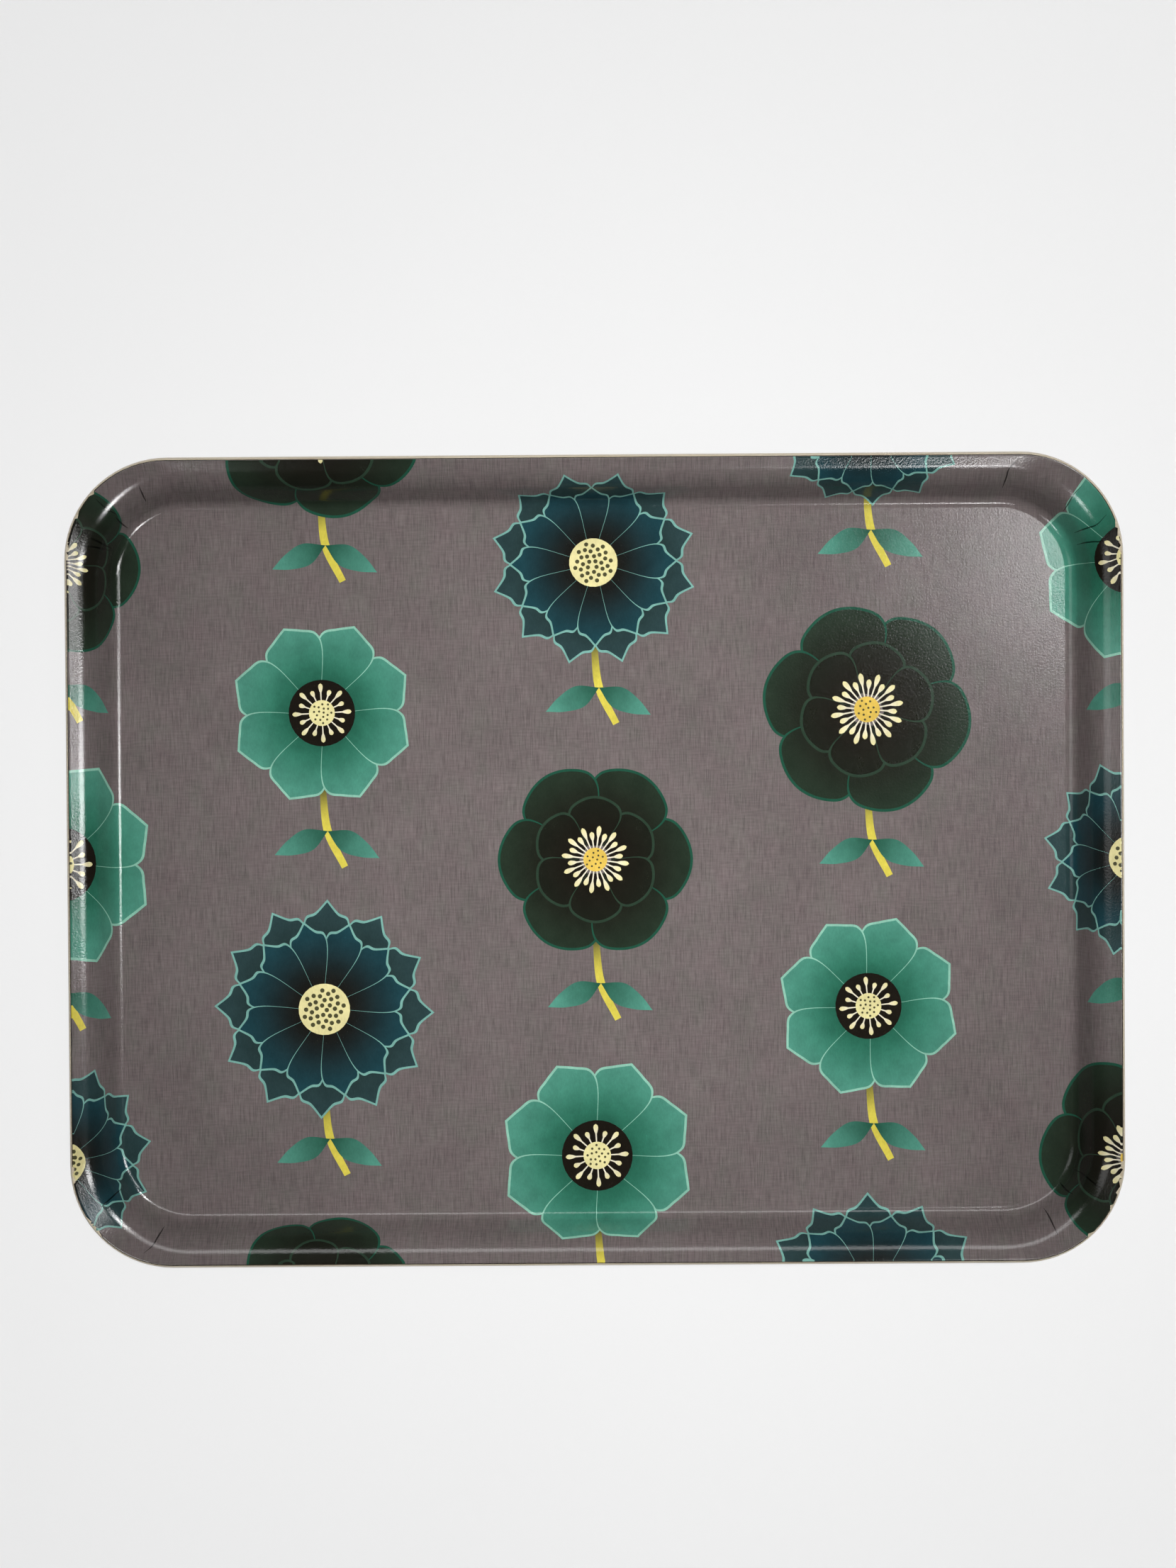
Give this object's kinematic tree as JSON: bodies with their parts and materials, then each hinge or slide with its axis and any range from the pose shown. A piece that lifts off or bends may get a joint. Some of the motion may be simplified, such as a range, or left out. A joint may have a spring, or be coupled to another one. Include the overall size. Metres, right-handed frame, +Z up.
{
  "type": "serving tray",
  "caption": "Oblong press-moulded serving tray with round corners, a raised flared rim and a printed floral face on laminated birch.",
  "frame": {"origin": "centre of the underside, on the surface that the tray stands on", "axes": "+X along the tray's long side, +Y along its short side towards the top of the print, +Z up out of the tray"},
  "size_m": [0.43, 0.33, 0.02],
  "materials": {
    "clear_melamine": "clear satin melamine overlay",
    "printed_decor": "melamine-soaked paper, warm grey linen ground with a printed floral pattern in black, green and cream",
    "birch_along": "birch veneer, grain along the tray, lacquered at the cut edge",
    "birch_across": "birch veneer, grain across the tray, lacquered at the cut edge",
    "grey_backing": "plain warm grey melamine backing, fine matt texture"
  },
  "bodies": {
    "root": {"wear_overlay": "clear_melamine", "decor_sheet": "printed_decor", "face_ply": "birch_along", "upper_cross_ply": "birch_across", "core_ply": "birch_along", "lower_cross_ply": "birch_across", "back_ply": "birch_along", "backing_sheet": "grey_backing"}
  },
  "joints": []
}
